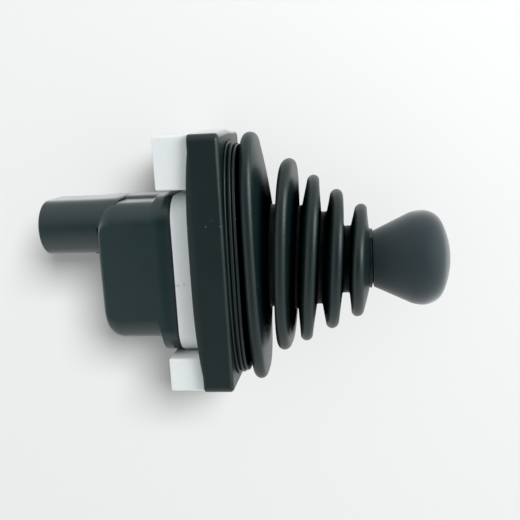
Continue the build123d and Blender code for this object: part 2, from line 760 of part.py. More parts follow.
# Carrier that holds the contacts, put in from inside the cover
with BuildPart() as contact_carrier:
    with BuildSketch(Plane.XY.offset(shroud_bottom - carrier_stand)):
        with Locations((carrier_shift, 0)):
            Rectangle(carrier_height, carrier_depth)
    extrude(amount=box_floor - shroud_bottom + carrier_stand)
    with BuildSketch(Plane.XY.offset(box_floor)):
        with Locations((carrier_shift, 0)):
            Rectangle(carrier_height + 2 * carrier_lip, carrier_depth + 2 * carrier_lip)
    extrude(amount=cover_wall)
    with BuildSketch(Plane.XY.offset(box_floor + cover_wall)):
        with Locations(*contact_spots):
            Circle(contact_radius + fixed_fit)
    extrude(amount=shroud_bottom - carrier_stand - box_floor - cover_wall, mode=Mode.SUBTRACT)
contact_carrier.part.label = "contact_carrier"
export_step(contact_carrier.part, "parts/contact_carrier.step")

# Contacts, from the socket to the board
contact_tip = shroud_bottom - carrier_stand - contact_stand
with BuildPart() as contact_pins:
    with BuildSketch(Plane.XY.offset(contact_tip)):
        with Locations(*contact_spots):
            Circle(contact_radius)
    extrude(amount=board_front + contact_tail - contact_tip)
    chamfer(contact_pins.faces().group_by(Axis.Z)[0].edges(), contact_radius / 2)
contact_pins.part.label = "contact_pins"
export_step(contact_pins.part, "parts/contact_pins.step")

# Sensor board on its posts
with BuildPart() as sensor_board:
    with BuildSketch(Plane.XY.offset(board_rear)):
        with Locations((box_shift, 0)):
            Rectangle(board_length, board_depth)
        with Locations((post_centre, 0)):
            with GridLocations(post_span, post_pitch, 2, 2):
                Circle(board_screw_radius + screw_gap, mode=Mode.SUBTRACT)
        with Locations(*contact_spots):
            Circle(contact_radius + fixed_fit, mode=Mode.SUBTRACT)
    extrude(amount=board_thickness)
sensor_board.part.label = "sensor_board"
export_step(sensor_board.part, "parts/sensor_board.step")

# Two Hall sensors under the magnet, one as a check on the other
with BuildPart() as hall_sensors:
    with BuildSketch(Plane.XY.offset(board_front)):
        with GridLocations(1, sensor_pitch, 1, 2):
            Rectangle(sensor_length, sensor_width)
    extrude(amount=sensor_height)
hall_sensors.part.label = "hall_sensors"
export_step(hall_sensors.part, "parts/hall_sensors.step")

# Signal chip
with BuildPart() as signal_chip:
    with BuildSketch(Plane.XY.offset(board_front)):
        with Locations((chip_place, 0)):
            Rectangle(chip_length, chip_width)
    extrude(amount=chip_height)
signal_chip.part.label = "signal_chip"
export_step(signal_chip.part, "parts/signal_chip.step")

# Capacitors beside the chip
with BuildPart() as board_capacitors:
    with BuildSketch(Plane.XY.offset(board_front)):
        with Locations((chip_place, 0)):
            with GridLocations(capacitor_pitch, 2 * chip_width, 2, 2):
                Rectangle(capacitor_length, capacitor_width)
    extrude(amount=capacitor_height)
board_capacitors.part.label = "board_capacitors"
export_step(board_capacitors.part, "parts/board_capacitors.step")

# Screws that hold the board on its posts
with BuildPart() as board_screws:
    with BuildSketch(Plane.XY.offset(board_front)):
        with Locations((post_centre, 0)):
            with GridLocations(post_span, post_pitch, 2, 2):
                Circle(board_head_radius)
    extrude(amount=board_head_height)
    with BuildSketch(Plane.XY.offset(board_front)):
        with Locations((post_centre, 0)):
            with GridLocations(post_span, post_pitch, 2, 2):
                Circle(board_screw_radius)
    extrude(amount=-board_thickness - board_screw_grip)
board_screws.part.label = "board_screws"
export_step(board_screws.part, "parts/board_screws.step")
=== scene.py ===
from math import copysign, cos, pi, radians, sin

import bmesh
import bpy
from mathutils import Matrix, Vector


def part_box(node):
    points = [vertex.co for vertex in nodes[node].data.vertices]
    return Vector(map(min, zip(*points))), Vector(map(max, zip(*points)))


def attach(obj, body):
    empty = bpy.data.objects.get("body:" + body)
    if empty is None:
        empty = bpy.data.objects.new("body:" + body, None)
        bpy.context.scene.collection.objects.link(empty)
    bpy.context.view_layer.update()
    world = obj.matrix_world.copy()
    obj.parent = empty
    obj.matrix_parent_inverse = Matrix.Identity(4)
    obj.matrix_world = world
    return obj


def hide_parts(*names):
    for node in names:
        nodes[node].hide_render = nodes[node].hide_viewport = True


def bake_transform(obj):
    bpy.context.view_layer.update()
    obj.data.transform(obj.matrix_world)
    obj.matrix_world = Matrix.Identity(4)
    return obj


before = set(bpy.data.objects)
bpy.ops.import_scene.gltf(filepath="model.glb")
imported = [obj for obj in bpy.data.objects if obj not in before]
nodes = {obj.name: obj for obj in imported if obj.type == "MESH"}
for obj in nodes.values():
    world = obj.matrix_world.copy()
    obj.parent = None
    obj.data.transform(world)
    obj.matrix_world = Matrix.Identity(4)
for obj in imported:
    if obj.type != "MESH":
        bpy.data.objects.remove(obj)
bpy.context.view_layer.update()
mm = 0.001
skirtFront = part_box("boot_skirt")[1].z / mm  # boot and knob heights are measured from here
arcMiddle = 0.3  # depth of a rounded edge at its middle, as a share of its radius


def grain(size):
    # texture scale for a pattern of that size in millimetres; blast, spark and tool marks
    # are drawn coarser than they are, so that they show
    return 1 / (size * mm)


def hexColour(text):
    channels = [int(text[i:i + 2], 16) / 255 for i in (1, 3, 5)]
    linear = [c / 12.92 if c <= 0.04045 else ((c + 0.055) / 1.055) ** 2.4 for c in channels]
    return (*linear, 1)


def setInputs(tree, node, inputs):
    for name, value in inputs.items():
        if isinstance(value, bpy.types.NodeSocket):
            tree.links.new(value, node.inputs[name])
        else:
            node.inputs[name].default_value = value


def addNode(tree, kind, inputs=None, **settings):
    node = tree.nodes.new(kind)
    for name, value in settings.items():
        setattr(node, name, value)
    setInputs(tree, node, inputs or {})
    return node


def newMaterial(name):
    material = bpy.data.materials.new(name)
    material.use_nodes = True
    tree = material.node_tree
    shader = tree.nodes["Principled BSDF"]
    place = addNode(tree, "ShaderNodeTexCoord").outputs["Object"]
    return material, tree, shader, place


# EPDM moulded in a bead-blasted tool: satin black, a fine pebble in the highlights, a little dust,
# and painted shade in the folds, darker and with less shine where ambient occlusion finds them
# closed in
def mouldedRubber():
    look = {
        "dark": "#061617", "light": "#091e1f", "dust": "#8f9697", "paintedFoldShade": "#010303",
        "cloud": 9, "pebble": 0.42, "pebbleHeight": 0.1,
        "speck": 2.2, "speckRadius": 0.14, "speckless": 0.8,    # share of cells without a speck
        "foldShadeReach": 9, "shut": 0.25, "open": 0.6,                   # painted shade in folds: its reach, and the occlusion at full and at no shade
        "shineDimmedInFolds": 0.5,
    }
    material, tree, shader, place = newMaterial("moulded EPDM rubber")
    cloud = addNode(tree, "ShaderNodeTexNoise", {
        "Vector": place, "Scale": grain(look["cloud"]), "Detail": 3})
    tone = addNode(tree, "ShaderNodeMix", {
        "Factor": cloud.outputs["Fac"], "A": hexColour(look["dark"]),
        "B": hexColour(look["light"])}, data_type="RGBA")
    specks = addNode(tree, "ShaderNodeTexVoronoi", {
        "Vector": place, "Scale": grain(look["speck"])})
    near = addNode(tree, "ShaderNodeMath", {
        0: specks.outputs["Distance"],
        1: look["speckRadius"] / look["speck"]}, operation="LESS_THAN")
    shade = addNode(tree, "ShaderNodeSeparateColor", {0: specks.outputs["Color"]})
    few = addNode(tree, "ShaderNodeMath", {
        0: shade.outputs[0], 1: look["speckless"]}, operation="GREATER_THAN")
    dusty = addNode(tree, "ShaderNodeMath", {
        0: near.outputs[0], 1: few.outputs[0]}, operation="MULTIPLY")
    colour = addNode(tree, "ShaderNodeMix", {
        "Factor": dusty.outputs[0], "A": tone.outputs["Result"],
        "B": hexColour(look["dust"])}, data_type="RGBA")
    # painted shade: ambient occlusion darkens the colour and dims the specular level inside the
    # folds
    around = addNode(tree, "ShaderNodeAmbientOcclusion", {"Distance": look["foldShadeReach"] * mm}, samples=8)
    unshadedShare = addNode(tree, "ShaderNodeMapRange", {
        "Value": around.outputs["AO"], "From Min": look["shut"],
        "From Max": look["open"]}, interpolation_type="SMOOTHSTEP")
    foldShadedColour = addNode(tree, "ShaderNodeMix", {
        "Factor": unshadedShare.outputs[0], "A": hexColour(look["paintedFoldShade"]),
        "B": colour.outputs["Result"]}, data_type="RGBA")
    shineDimmedInFolds = addNode(tree, "ShaderNodeMath", {
        0: unshadedShare.outputs[0], 1: look["shineDimmedInFolds"]}, operation="MULTIPLY")
    pebble = addNode(tree, "ShaderNodeTexNoise", {
        "Vector": place, "Scale": grain(look["pebble"]), "Detail": 2})
    bump = addNode(tree, "ShaderNodeBump", {
        "Height": pebble.outputs["Fac"], "Strength": 0.5, "Distance": look["pebbleHeight"] * mm})
    rough = addNode(tree, "ShaderNodeMapRange", {
        "Value": cloud.outputs["Fac"], "To Min": 0.33, "To Max": 0.41})
    setInputs(tree, shader, {
        "Base Color": foldShadedColour.outputs["Result"], "Specular IOR Level": shineDimmedInFolds.outputs[0],
        "Roughness": rough.outputs[0], "IOR": 1.45, "Normal": bump.outputs[0]})
    return material


# ABS with a sprayed soft-touch coat: blue-grey, very matt, a velvety lift at grazing angles
def softTouchCoat():
    look = {"dark": "#1a292e", "light": "#1f2f34", "cloud": 12, "coat": 0.3, "coatHeight": 0.03}
    material, tree, shader, place = newMaterial("soft-touch coated ABS")
    cloud = addNode(tree, "ShaderNodeTexNoise", {
        "Vector": place, "Scale": grain(look["cloud"]), "Detail": 2})
    tone = addNode(tree, "ShaderNodeMix", {
        "Factor": cloud.outputs["Fac"], "A": hexColour(look["dark"]),
        "B": hexColour(look["light"])}, data_type="RGBA")
    stipple = addNode(tree, "ShaderNodeTexNoise", {
        "Vector": place, "Scale": grain(look["coat"]), "Detail": 2})
    bump = addNode(tree, "ShaderNodeBump", {
        "Height": stipple.outputs["Fac"], "Strength": 0.2, "Distance": look["coatHeight"] * mm})
    setInputs(tree, shader, {
        "Base Color": tone.outputs["Result"], "Roughness": 0.7, "IOR": 1.4,
        "Normal": bump.outputs[0], "Sheen Weight": 0.8, "Sheen Roughness": 0.4})
    return material


# Glass-filled nylon from a spark-eroded tool: black, even satin, faint streaks from the glass;
# the other hard mouldings have the same skin in their own colours
def mouldedNylon(name, dark, light, roughness):
    look = {"flow": 5, "spark": 0.35, "sparkHeight": 0.04, "uneven": 0.04}
    material, tree, shader, place = newMaterial(name)
    flow = addNode(tree, "ShaderNodeTexNoise", {
        "Vector": place, "Scale": grain(look["flow"]), "Detail": 4})
    tone = addNode(tree, "ShaderNodeMix", {
        "Factor": flow.outputs["Fac"], "A": hexColour(dark),
        "B": hexColour(light)}, data_type="RGBA")
    spark = addNode(tree, "ShaderNodeTexNoise", {
        "Vector": place, "Scale": grain(look["spark"]), "Detail": 2})
    bump = addNode(tree, "ShaderNodeBump", {
        "Height": spark.outputs["Fac"], "Strength": 0.18, "Distance": look["sparkHeight"] * mm})
    rough = addNode(tree, "ShaderNodeMapRange", {
        "Value": flow.outputs["Fac"], "To Min": roughness - look["uneven"],
        "To Max": roughness + look["uneven"]})
    setInputs(tree, shader, {
        "Base Color": tone.outputs["Result"], "Roughness": rough.outputs[0], "IOR": 1.53,
        "Normal": bump.outputs[0]})
    return material


# Acetal from a polished tool: milky white, light soaks in a little, small grey handling marks
def milkyAcetal():
    look = {"clean": "#e1e5e6", "mark": "#939b9e", "patch": 6, "smear": 1.2, "soak": 1.5}
    material, tree, shader, place = newMaterial("moulded acetal")
    patch = addNode(tree, "ShaderNodeTexNoise", {
        "Vector": place, "Scale": grain(look["patch"]), "Detail": 1})
    smear = addNode(tree, "ShaderNodeTexNoise", {
        "Vector": place, "Scale": grain(look["smear"]), "Detail": 4})
    both = addNode(tree, "ShaderNodeMath", {
        0: patch.outputs["Fac"], 1: smear.outputs["Fac"]}, operation="MULTIPLY")
    marked = addNode(tree, "ShaderNodeMapRange", {
        "Value": both.outputs[0], "From Min": 0.4, "From Max": 0.52, "To Min": 0, "To Max": 0.7})
    tone = addNode(tree, "ShaderNodeMix", {
        "Factor": marked.outputs[0], "A": hexColour(look["clean"]),
        "B": hexColour(look["mark"])}, data_type="RGBA")
    setInputs(tree, shader, {
        "Base Color": tone.outputs["Result"], "Roughness": 0.38, "IOR": 1.48,
        "Subsurface Weight": 0.15, "Subsurface Scale": look["soak"] * mm})
    return material


# Turned, drawn, plated or sintered metal: bright, with fine tool marks that break up the shine
def toolMarkedMetal(name, dark, light, roughness, mark):
    look = {"uneven": 0.06}
    material, tree, shader, place = newMaterial(name)
    marks = addNode(tree, "ShaderNodeTexNoise", {
        "Vector": place, "Scale": grain(mark), "Detail": 3})
    tone = addNode(tree, "ShaderNodeMix", {
        "Factor": marks.outputs["Fac"], "A": hexColour(dark),
        "B": hexColour(light)}, data_type="RGBA")
    rough = addNode(tree, "ShaderNodeMapRange", {
        "Value": marks.outputs["Fac"], "To Min": roughness - look["uneven"],
        "To Max": roughness + look["uneven"]})
    setInputs(tree, shader, {
        "Base Color": tone.outputs["Result"], "Metallic": 1, "Roughness": rough.outputs[0]})
    return material


# Solder-masked glass epoxy: green lacquer with the weave just showing through
def maskedBoard():
    look = {"dark": "#0c3a1e", "light": "#16532c", "weave": 0.6}
    material, tree, shader, place = newMaterial("solder-masked glass epoxy")
    weave = addNode(tree, "ShaderNodeTexBrick", {
        "Vector": place, "Scale": grain(look["weave"]), "Color1": hexColour(look["dark"]),
        "Color2": hexColour(look["light"]), "Mortar": hexColour(look["dark"])})
    setInputs(tree, shader, {"Base Color": weave.outputs["Color"], "Roughness": 0.3, "IOR": 1.5})
    return material


rubber = mouldedRubber()
coatedAbs = softTouchCoat()
blackNylon = mouldedNylon("moulded glass-filled nylon", "#0a1f20", "#0d2627", 0.3)
carrierPbt = mouldedNylon("moulded PBT", "#3a3d40", "#45494c", 0.45)
paleNylon = mouldedNylon("moulded natural nylon", "#d9d2bd", "#e5dfcd", 0.4)
epoxy = mouldedNylon("moulded epoxy", "#17181a", "#202224", 0.55)
ceramic = mouldedNylon("fired ceramic", "#8a6c48", "#a5845c", 0.5)
silicone = mouldedNylon("moulded silicone rubber", "#141718", "#1b1f20", 0.6)
acetal = milkyAcetal()
brass = toolMarkedMetal("turned brass", "#b08d4c", "#d8b878", 0.3, 0.4)
bronze = toolMarkedMetal("sintered bronze", "#8a6238", "#a87c4b", 0.5, 0.3)
zincSteel = toolMarkedMetal("zinc-plated steel", "#a9adb1", "#c9ccd0", 0.32, 0.5)
springWire = toolMarkedMetal("drawn spring wire", "#86898d", "#a5a8ac", 0.3, 0.25)
nickel = toolMarkedMetal("nickel-plated magnet", "#b9b4a8", "#d3cfc5", 0.2, 0.6)
tin = toolMarkedMetal("tin-plated brass", "#c3c4c4", "#dadbdb", 0.28, 0.4)
boardGreen = maskedBoard()

nodeMaterials = {
    "mounting_body": acetal, "screw_inserts": brass, "boot_skirt": rubber, "bellows_boot": rubber,
    "knob": coatedAbs, "knob_hub": brass, "lock_nut": zincSteel, "lever_rod": zincSteel,
    "rocker": blackNylon, "cross_pin": zincSteel, "pivot_pin": zincSteel, "pivot_bushes": bronze,
    "pivot_washers": paleNylon, "sensor_magnet": nickel, "left_spring": springWire,
    "right_spring": springWire, "rear_cover": blackNylon, "cover_gasket": silicone,
    "case_screws": zincSteel, "connector_shroud": blackNylon, "contact_carrier": carrierPbt,
    "contact_pins": tin, "sensor_board": boardGreen, "hall_sensors": epoxy, "signal_chip": epoxy,
    "board_capacitors": ceramic, "board_screws": zincSteel,
}
for nodeName, material in nodeMaterials.items():
    nodes[nodeName].data.materials.clear()
    nodes[nodeName].data.materials.append(material)
print("materials on", len(nodeMaterials), "CAD nodes")


def startLoop(name, count, radius=10):
    bpy.ops.object.select_all(action="DESELECT")
    bpy.ops.mesh.primitive_circle_add(vertices=count, radius=radius * mm, fill_type="NOTHING")
    piece = bpy.context.object
    piece.name = name
    piece.data.name = name
    bpy.ops.object.mode_set(mode="EDIT")
    bpy.ops.mesh.select_all(action="SELECT")
    return piece


def placeLoop(piece, points):
    # puts the selected loop, in the order round the axis, on these points
    mesh = bmesh.from_edit_mesh(piece.data)
    mesh.verts.ensure_lookup_table()
    loop = [v for v in mesh.verts if v.select]
    for vertex, point in zip(loop, points):
        vertex.co = point
    bmesh.update_edit_mesh(piece.data)


def capEnds():
    bpy.ops.mesh.select_all(action="SELECT")
    bpy.ops.mesh.select_non_manifold(extend=False)
    bpy.ops.mesh.fill_holes(sides=0)


def closeUp(piece, smoothAngle):
    bpy.ops.mesh.select_all(action="SELECT")
    bpy.ops.mesh.normals_make_consistent(inside=False)
    bpy.ops.object.mode_set(mode="OBJECT")
    bpy.ops.object.select_all(action="DESELECT")
    piece.select_set(True)
    bpy.context.view_layer.objects.active = piece
    bpy.ops.object.shade_smooth_by_angle(angle=radians(smoothAngle))


def giveWall(piece, thickness):
    wall = piece.modifiers.new("wall", "SOLIDIFY")
    wall.thickness = thickness * mm
    wall.offset = -1
    bpy.ops.object.modifier_apply(modifier="wall")


def joinPieces(pieces):
    bpy.ops.object.select_all(action="DESELECT")
    for piece in pieces:
        piece.select_set(True)
    bpy.context.view_layer.objects.active = pieces[0]
    bpy.ops.object.join()


# Bellows: a loop extruded level by level from foot to neck, sizes in millimetres,
# heights above the skirt
boot = {
    "turns": 176,
    "wall": 1.1,
    "foot": (-1.45, 39.15, 18.1),               # middle in X, half length, half depth
    "footProfile": [                            # inset and height
        (-1.2, -0.1), (-1.2, 0.55), (-1.0, 0.8), (0.2, 0.9), (0.2, 1.3), (-0.5, 1.4), (-0.6, 1.6),
        (-0.6, 2.1), (-0.4, 2.35), (0.6, 2.4), (0.6, 2.8), (-0.1, 2.9), (0, 3.1), (0, 3.5),
        (0.2, 3.7), (3.6, 3.8), (4.0, 4.1), (3.8, 4.5)],
    "rings": [                                  # as the foot, then height, lean in X and in Y
        (-1.9, 42.5, 20.2, 7.5, -0.0075, 0),
        (-2.2, 32.8, 20.0, 18.1, 0.049, -0.05),
        (-0.8, 28.3, 19.8, 25.7, 0.078, 0.045),
        (-0.3, 23.7, 19.4, 33.9, 0.067, 0.05),
        (0.35, 19.1, 19.1, 42.4, 0.05, -0.04),
    ],
    "valleys": [                                # as a ring, at the lower edge, then floor width
        (-2.1, 17.6, 11.5, 12.4, 0.046, 0, 2.4),
        (-1.3, 17.7, 11.0, 21.2, 0.07, 0, 1.4),
        (-0.8, 15.75, 11.0, 28.8, 0.074, 0, 2.0),
        (-0.1, 11.4, 10.6, 37.0, 0.048, 0, 2.4),
    ],
    "floorRound": 0.35,
    "neck": (0.0, 9.7, 9.7, 45.8, 0.02, 0),
    "neckProfile": [
        (0, 45.95), (-0.2, 46.1), (-0.2, 46.3), (0.1, 46.45), (1.2, 46.45), (1.4, 46.95),
        (3.5, 46.95)],
    "tip": 2.1,                                 # radius of a ring's rim
    "tipTurn": 72,                              # how far round the rim is round, in degrees
    "tipLoops": 6,                              # on each side of the rim's middle
    "flankLoops": 5,
    "squareness": 0.8,
    "smooth": 50,
}


def ovalPoint(turn, middle, halfLength, halfDepth, height, lean, sway):
    power = 2 / (2 + boot["squareness"] * max(halfLength / halfDepth - 1, 0))
    along = halfLength * copysign(abs(cos(turn)) ** power, cos(turn))
    across = halfDepth * copysign(abs(sin(turn)) ** power, sin(turn))
    return Vector((middle + along, across, skirtFront + height - lean * along - sway * across)) * mm


def drawnIn(level, inset, rise):
    middle, halfLength, halfDepth, height, lean, sway = level
    return middle, halfLength - inset, halfDepth - inset, height + rise, lean, sway


def mixLevels(first, last, share):
    return tuple(a + (b - a) * share for a, b in zip(first, last))


def valleyFloor(*valley):
    low, width = valley[:-1], valley[-1]
    bend = boot["floorRound"]
    side = [(-bend, 0), (-bend * arcMiddle, bend * arcMiddle), (0, bend)]
    floorLevels = [drawnIn(low, inset, rise) for inset, rise in side]
    return floorLevels + [drawnIn(low, inset, width - rise) for inset, rise in reversed(side)]


def bootLevels():
    tip, tipLoops, flankLoops = boot["tip"], boot["tipLoops"], boot["flankLoops"]
    footOval = (*boot["foot"], 0, 0, 0)
    levels = [drawnIn(footOval, inset, height) for inset, height in boot["footProfile"]]
    ends = [valleyFloor(*valley) for valley in boot["valleys"]] + [[boot["neck"]]]
    for ring, end in zip(boot["rings"], ends):
        rim = []
        for step in range(-tipLoops, tipLoops + 1):
            turn = radians(boot["tipTurn"]) * step / tipLoops
            rim.append(drawnIn(ring, tip * (1 - cos(turn)), tip * sin(turn)))
        start = levels[-1]
        for step in range(1, flankLoops):
            levels.append(mixLevels(start, rim[0], step / flankLoops))
        levels += rim
        for step in range(1, flankLoops):
            levels.append(mixLevels(rim[-1], end[0], step / flankLoops))
        levels += end
    neckOval = (*boot["neck"][:3], 0, 0, 0)
    return levels + [drawnIn(neckOval, inset, height) for inset, height in boot["neckProfile"]]


def buildBoot():
    piece = startLoop("bellows", boot["turns"])
    turns = [2 * pi * step / boot["turns"] for step in range(boot["turns"])]
    for number, level in enumerate(bootLevels()):
        if number:
            bpy.ops.mesh.extrude_region_move()
        placeLoop(piece, [ovalPoint(turn, *level) for turn in turns])
    closeUp(piece, boot["smooth"])
    giveWall(piece, boot["wall"])
    piece.data.materials.append(rubber)
    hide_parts("bellows_boot")
    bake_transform(piece)
    print("bellows", len(piece.data.polygons), "faces")


buildBoot()


# Knob: a loop extruded up the bore, the flared flank and round the crown
knob = {
    "turns": 128,
    "base": 47.0,                               # above the skirt, the other heights from here
    "baseRadius": 9.7,
    "shoulderRadius": 15.25,
    "shoulder": 12.3,
    "radius": 15.95,
    "widest": 16.2,
    "height": 25.3,
    "crown": 28.0,                              # radius of the dome
    "bore": 6.1,
    "boreDepth": 17.5,
    "edge": 0.5,
    "edgeLoops": 3,
    "flankLoops": 8,
    "swellShares": (0.35, 0.7, 1),              # of the way from the shoulder to the widest place
    "cornerLoops": 12,
    "crownLoops": 10,
    "smooth": 40,
}


def knobProfile():
    drop = knob["height"] - knob["widest"]
    spare = 2 * knob["crown"] * drop - drop ** 2 - knob["radius"] ** 2
    corner = spare / (2 * (knob["crown"] - knob["radius"]))
    centreRadius = knob["radius"] - corner
    crownCentre = knob["height"] - knob["crown"]
    edge = knob["edge"]
    profile = [(knob["bore"], knob["boreDepth"]), (knob["bore"], 0), (knob["baseRadius"] - edge, 0)]
    for step in range(1, knob["edgeLoops"] + 1):
        turn = pi / 2 * step / knob["edgeLoops"]
        profile.append((knob["baseRadius"] - edge * (1 - sin(turn)), edge * (1 - cos(turn))))
    for step in range(1, knob["flankLoops"] + 1):
        share = step / knob["flankLoops"]
        profile.append((
            knob["baseRadius"] + (knob["shoulderRadius"] - knob["baseRadius"]) * share,
            edge + (knob["shoulder"] - edge) * share))
    for share in knob["swellShares"]:
        rise = knob["shoulder"] + (knob["widest"] - knob["shoulder"]) * share
        swell = knob["radius"] - (knob["radius"] - knob["shoulderRadius"]) * (1 - share) ** 2
        profile.append((swell, rise))
    turnEnd = Vector((centreRadius, knob["widest"] - crownCentre)).normalized()
    reach = Vector((1, 0)).angle(turnEnd)
    for step in range(1, knob["cornerLoops"] + 1):
        turn = reach * step / knob["cornerLoops"]
        profile.append((centreRadius + corner * cos(turn), knob["widest"] + corner * sin(turn)))
    for step in range(1, knob["crownLoops"]):
        turn = reach + (pi / 2 - reach) * step / knob["crownLoops"]
        profile.append((knob["crown"] * cos(turn), crownCentre + knob["crown"] * sin(turn)))
    return profile


def buildKnob():
    piece = startLoop("knob_grip", knob["turns"])
    turns = [2 * pi * step / knob["turns"] for step in range(knob["turns"])]
    for number, (radius, rise) in enumerate(knobProfile()):
        if number:
            bpy.ops.mesh.extrude_region_move()
        height = skirtFront + knob["base"] + rise
        placeLoop(piece, [
            Vector((radius * cos(turn), radius * sin(turn), height)) * mm for turn in turns])
    bpy.ops.mesh.extrude_region_move()
    top = Vector((0, 0, skirtFront + knob["base"] + knob["height"])) * mm
    placeLoop(piece, [top] * knob["turns"])
    bpy.ops.mesh.merge(type="CENTER")
    closeUp(piece, knob["smooth"])
    piece.data.materials.append(coatedAbs)
    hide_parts("knob")
    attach(piece, "lever")
    print("knob", len(piece.data.polygons), "faces")


buildKnob()


# Rear cover: a loop extruded from the middle of the rear face over the box and out to the rim,
# joined with the root that carries the shroud and the rib beside it
cover = {
    "arc": 12,                                  # faces round a corner
    "box": {"low": (-23.6, -15.75), "high": (23.4, 15.75), "corner": 7.6},
    "root": {"low": (-24.8, -15), "high": (-6.2, 15), "corner": 9.25},
    "rib": {"low": (-24.7, -2), "high": (-6.2, 14.9), "corner": 5.0},
    "rim": {"low": (-25.2, -15.75), "high": (28.3, 15.75), "corner": 8.75},
    "rearRound": 5.0,                           # rear corners of the box, seen along Y
    "rearLoops": 8,
    "rearEdge": 1.2,
    "edgeLoops": 4,
    "rimHeight": 6.3,
    "rimSlope": 1.3,
    "rootHeight": 5.5,
    "ribCut": -16,                              # root and rib end here, inside the box
    "wall": 1.4,
    "weld": 0.001,
    "smooth": 35,
}


def roundRectangle(form, height, inX=0, inY=0):
    points = []
    (left, near), (right, far) = form["low"], form["high"]
    corner = form["corner"]
    left, right = left + inX + corner, right - inX - corner
    near, far = near + inY + corner, far - inY - corner
    for quarter, (x, y) in enumerate([(right, far), (left, far), (left, near), (right, near)]):
        for step in range(cover["arc"] + 1):
            turn = pi / 2 * (quarter + step / cover["arc"])
            points.append(Vector((x + corner * cos(turn), y + corner * sin(turn), height)) * mm)
    return points


def roundingRises(radius, loops):
    return {radius * (1 - cos(pi / 2 * step / loops)) for step in range(loops + 1)}


def roundedAway(radius, rise):
    return radius - (radius ** 2 - (radius - rise) ** 2) ** 0.5 if rise < radius else 0


def buildShell(name, loops, cut=None):
    piece = startLoop(name, 4 * (cover["arc"] + 1))
    middle = sum(loops[0], Vector()) / len(loops[0])
    placeLoop(piece, [middle] * len(loops[0]))
    for loop in loops:
        bpy.ops.mesh.extrude_region_move()
        placeLoop(piece, loop)
    bpy.ops.mesh.select_all(action="SELECT")
    bpy.ops.mesh.remove_doubles(threshold=cover["weld"] * mm)
    if cut is not None:
        bpy.ops.mesh.select_all(action="SELECT")
        bpy.ops.mesh.bisect(plane_co=(cut * mm, 0, 0), plane_no=(1, 0, 0), clear_outer=True)
    closeUp(piece, cover["smooth"])
    giveWall(piece, cover["wall"])
    return piece


def buildCover():
    low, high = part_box("rear_cover")
    rear, front = low.z / mm, high.z / mm
    rimRear = front - cover["rimHeight"]
    rises = sorted(roundingRises(cover["rearRound"], cover["rearLoops"])
                   | roundingRises(cover["rearEdge"], cover["edgeLoops"]))
    loops = [
        roundRectangle(cover["box"], rear + rise, roundedAway(cover["rearRound"], rise),
                       roundedAway(cover["rearEdge"], rise))
        for rise in rises]
    loops.append(roundRectangle(cover["box"], rimRear))
    loops.append(roundRectangle(cover["rim"], rimRear + cover["rimSlope"]))
    loops.append(roundRectangle(cover["rim"], front))
    piece = buildShell("cover_shell", loops)
    added = []
    for name, top in (("root", rear + cover["rootHeight"]), ("rib", rimRear + cover["rimSlope"])):
        ribLoops = [roundRectangle(cover[name], height) for height in (rear, top)]
        added.append(buildShell("cover_" + name, ribLoops, cover["ribCut"]))
    joinPieces([piece] + added)
    piece.modifiers.new("even", "WEIGHTED_NORMAL").keep_sharp = True
    bpy.ops.object.modifier_apply(modifier="even")
    piece.data.materials.append(blackNylon)
    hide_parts("rear_cover")
    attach(piece, "base")
    print("rear cover", len(piece.data.polygons), "faces")
    return piece


coverPiece = buildCover()


# Lip of the skirt: its rear edge bows out over the white body, one bar on each long side
lip = {
    "bow": 1.85,
    "wall": 2.4,
    "overlap": 1.0,
    "outset": 0.02,
    "edge": 0.5,
    "endGap": 3,                                # from the skirt's end
    "corners": 8,
    "stations": 40,
    "flatness": 3,
    "smooth": 50,
}


def lipSection(side, x, rear, bow):
    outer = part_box("boot_skirt")[1].y / mm + lip["outset"]
    inner, edge, low = outer - lip["wall"], lip["edge"], rear - bow
    top, turned = rear + lip["overlap"], arcMiddle * edge
    shape = [
        (inner, top), (inner, low + edge), (inner + turned, low + turned), (inner + edge, low),
        (outer - edge, low), (outer - turned, low + turned), (outer, low + edge), (outer, top)]
    return [Vector((x, side * y, z)) * mm for y, z in shape]


def buildLip():
    low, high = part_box("boot_skirt")
    middle, half = (low.x + high.x) / 2 / mm, (high.x - low.x) / 2 / mm - lip["endGap"]
    bars = []
    for side in (-1, 1):
        bar = startLoop("skirt_lip", lip["corners"])
        for number in range(lip["stations"] + 1):
            if number:
                bpy.ops.mesh.extrude_region_move()
            share = 2 * number / lip["stations"] - 1
            fade = abs(share) ** lip["flatness"]
            bow = lip["bow"] * (1 - fade) - lip["edge"] * fade
            placeLoop(bar, lipSection(side, middle + share * half, low.z / mm, bow))
        capEnds()
        closeUp(bar, lip["smooth"])
        bars.append(bar)
    joinPieces(bars)
    bars[0].data.materials.append(rubber)
    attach(bars[0], "base")
    print("skirt lip", len(bars[0].data.polygons), "faces")


buildLip()


# Centring springs: a loop of wire extruded along the coil, from the bottom to the top of each CAD
# spring
coil = {"radius": 3.0, "turns": 6, "steps": 18, "wireFaces": 10, "smooth": 50}


